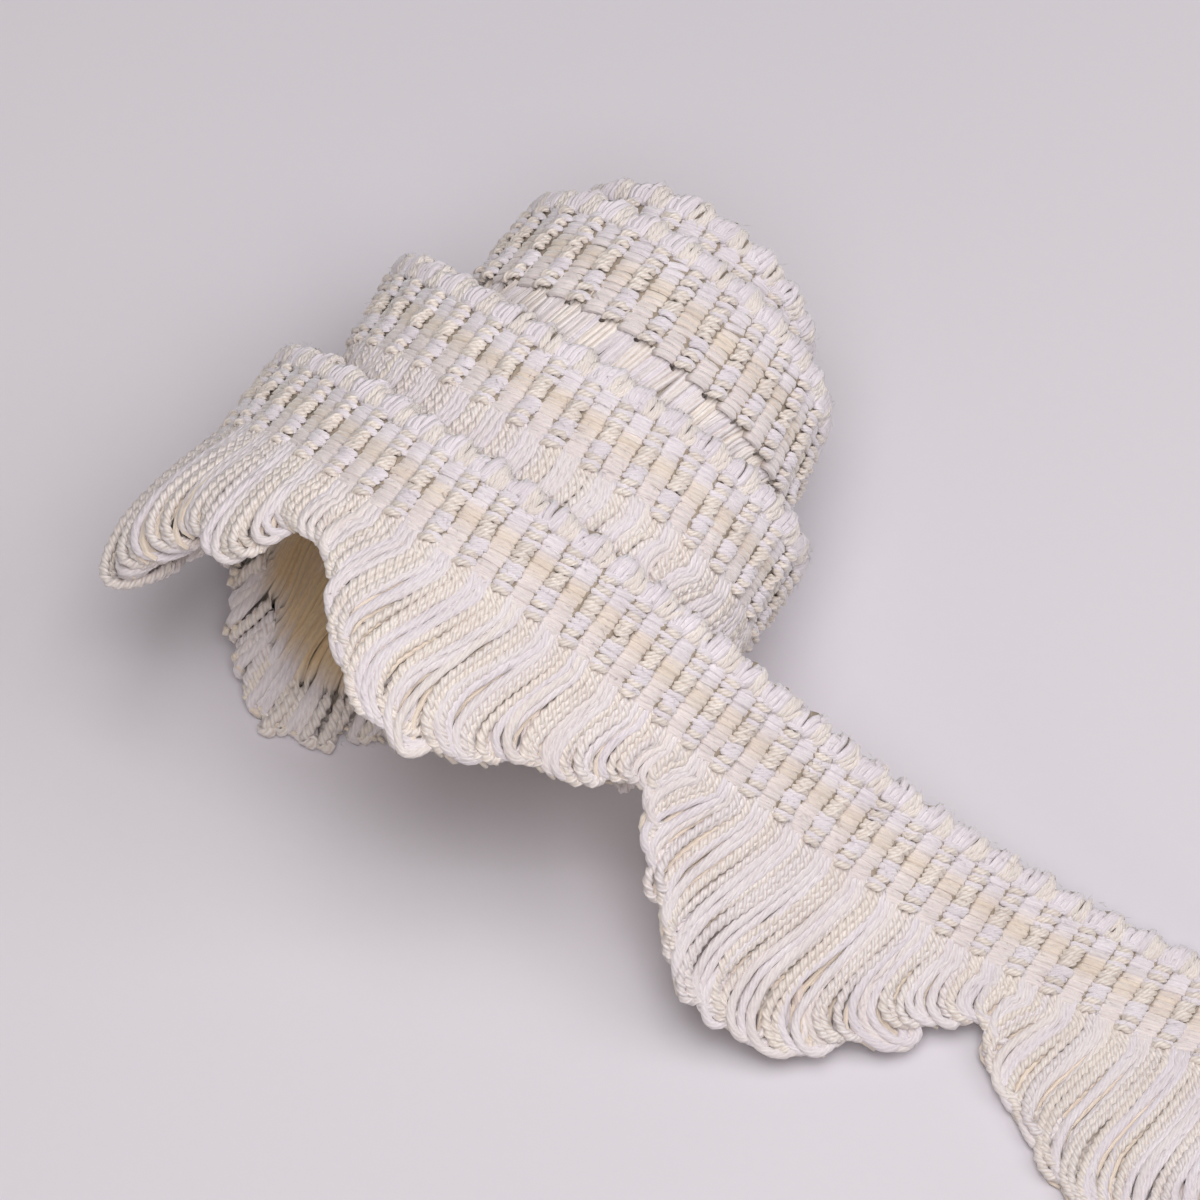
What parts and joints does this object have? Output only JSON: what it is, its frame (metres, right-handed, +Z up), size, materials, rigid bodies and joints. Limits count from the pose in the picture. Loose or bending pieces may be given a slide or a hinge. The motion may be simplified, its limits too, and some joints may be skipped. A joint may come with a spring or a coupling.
{
  "type": "fan edge trim",
  "caption": "Woven fan edging with a ribbed heading and a scalloped loop fringe, wound in a loose telescoped roll with one end running out, for edging curtains and cushions",
  "frame": {"origin": "centre of the underside of the part's box, on the table", "axes": "+X along the table towards the cut end of the loose tail, +Y along the roll's axis from the wide fringe end to the narrow end, +Z up"},
  "size_m": [0.1364, 0.0668, 0.0416],
  "materials": {
    "heading_weave": "ribbed weave of matte and lustrous cream yarn",
    "fringe_yarn": "looped cords of matte white and lustrous cream yarn"
  },
  "bodies": {
    "root": {"heading": "heading_weave", "fringe": "fringe_yarn"}
  },
  "joints": []
}
